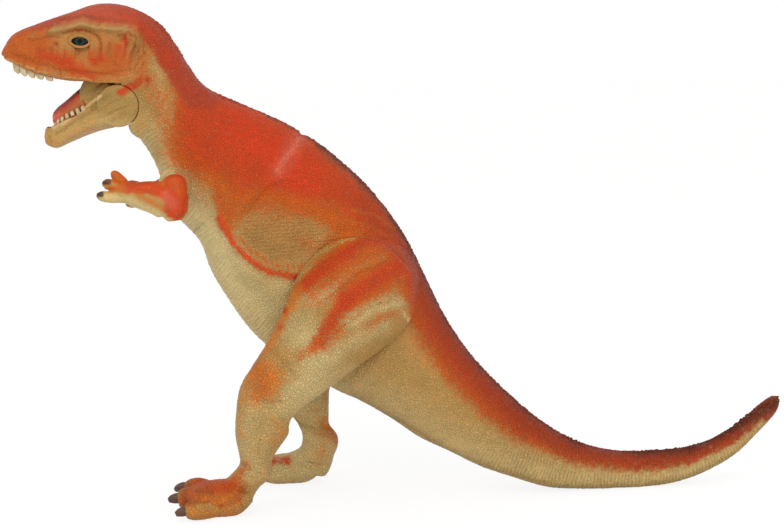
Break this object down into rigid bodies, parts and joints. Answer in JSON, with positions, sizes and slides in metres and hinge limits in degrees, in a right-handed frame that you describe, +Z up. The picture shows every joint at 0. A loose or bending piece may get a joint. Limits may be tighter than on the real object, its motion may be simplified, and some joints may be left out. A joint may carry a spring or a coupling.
{
  "type": "toy dinosaur figure",
  "caption": "Toy theropod dinosaur figure standing on two feet and its tail, with a hinged open jaw and arms and legs that swivel at the shoulders and hips.",
  "frame": {"origin": "middle of the figure's length and width, on the surface it stands on", "axes": "+X towards the tail's tip, -Y towards the figure's left side, +Z up"},
  "size_m": [0.2996, 0.0759, 0.1881],
  "materials": {
    "body_vinyl": "painted soft vinyl, satin",
    "jaw_vinyl": "painted soft vinyl, satin",
    "limb_vinyl": "painted soft vinyl, satin",
    "tooth_plastic": "cream, satin",
    "tongue_vinyl": "painted, satin",
    "eye_plastic": "gloss",
    "pin_plastic": "plain"
  },
  "bodies": {
    "body": {"front_body": "body_vinyl", "rear_body": "body_vinyl", "jaw_pin": "pin_plastic", "upper_teeth": "tooth_plastic", "left_eye": "eye_plastic", "right_eye": "eye_plastic"},
    "jaw": {"lower_jaw": "jaw_vinyl", "lower_teeth": "tooth_plastic", "tongue": "tongue_vinyl"},
    "arm_left": {"left_arm": "limb_vinyl"},
    "arm_right": {"right_arm": "limb_vinyl"},
    "leg_left": {"left_leg": "limb_vinyl"},
    "leg_right": {"right_leg": "limb_vinyl"}
  },
  "joints": [
    {"name": "jaw_hinge", "type": "hinge", "parent": "body", "child": "jaw", "pos_m": [-0.1053, 0, 0.15096], "axis": [0, 1, 0], "range_deg": [-5, 25]},
    {"name": "left_shoulder", "type": "hinge", "parent": "body", "child": "arm_left", "pos_m": [-0.0834, -0.018, 0.12201], "axis": [0, 1, 0], "range_deg": [-45, 40]},
    {"name": "right_shoulder", "type": "hinge", "parent": "body", "child": "arm_right", "pos_m": [-0.0834, 0.018, 0.12201], "axis": [0, 1, 0], "range_deg": [-23.5, 61.5]},
    {"name": "left_hip", "type": "hinge", "parent": "body", "child": "leg_left", "pos_m": [-0.01695, -0.0192, 0.08216], "axis": [0, 1, 0], "range_deg": [-15, 25]},
    {"name": "right_hip", "type": "hinge", "parent": "body", "child": "leg_right", "pos_m": [-0.01695, 0.0192, 0.08216], "axis": [0, 1, 0], "range_deg": [-15, 25]}
  ]
}
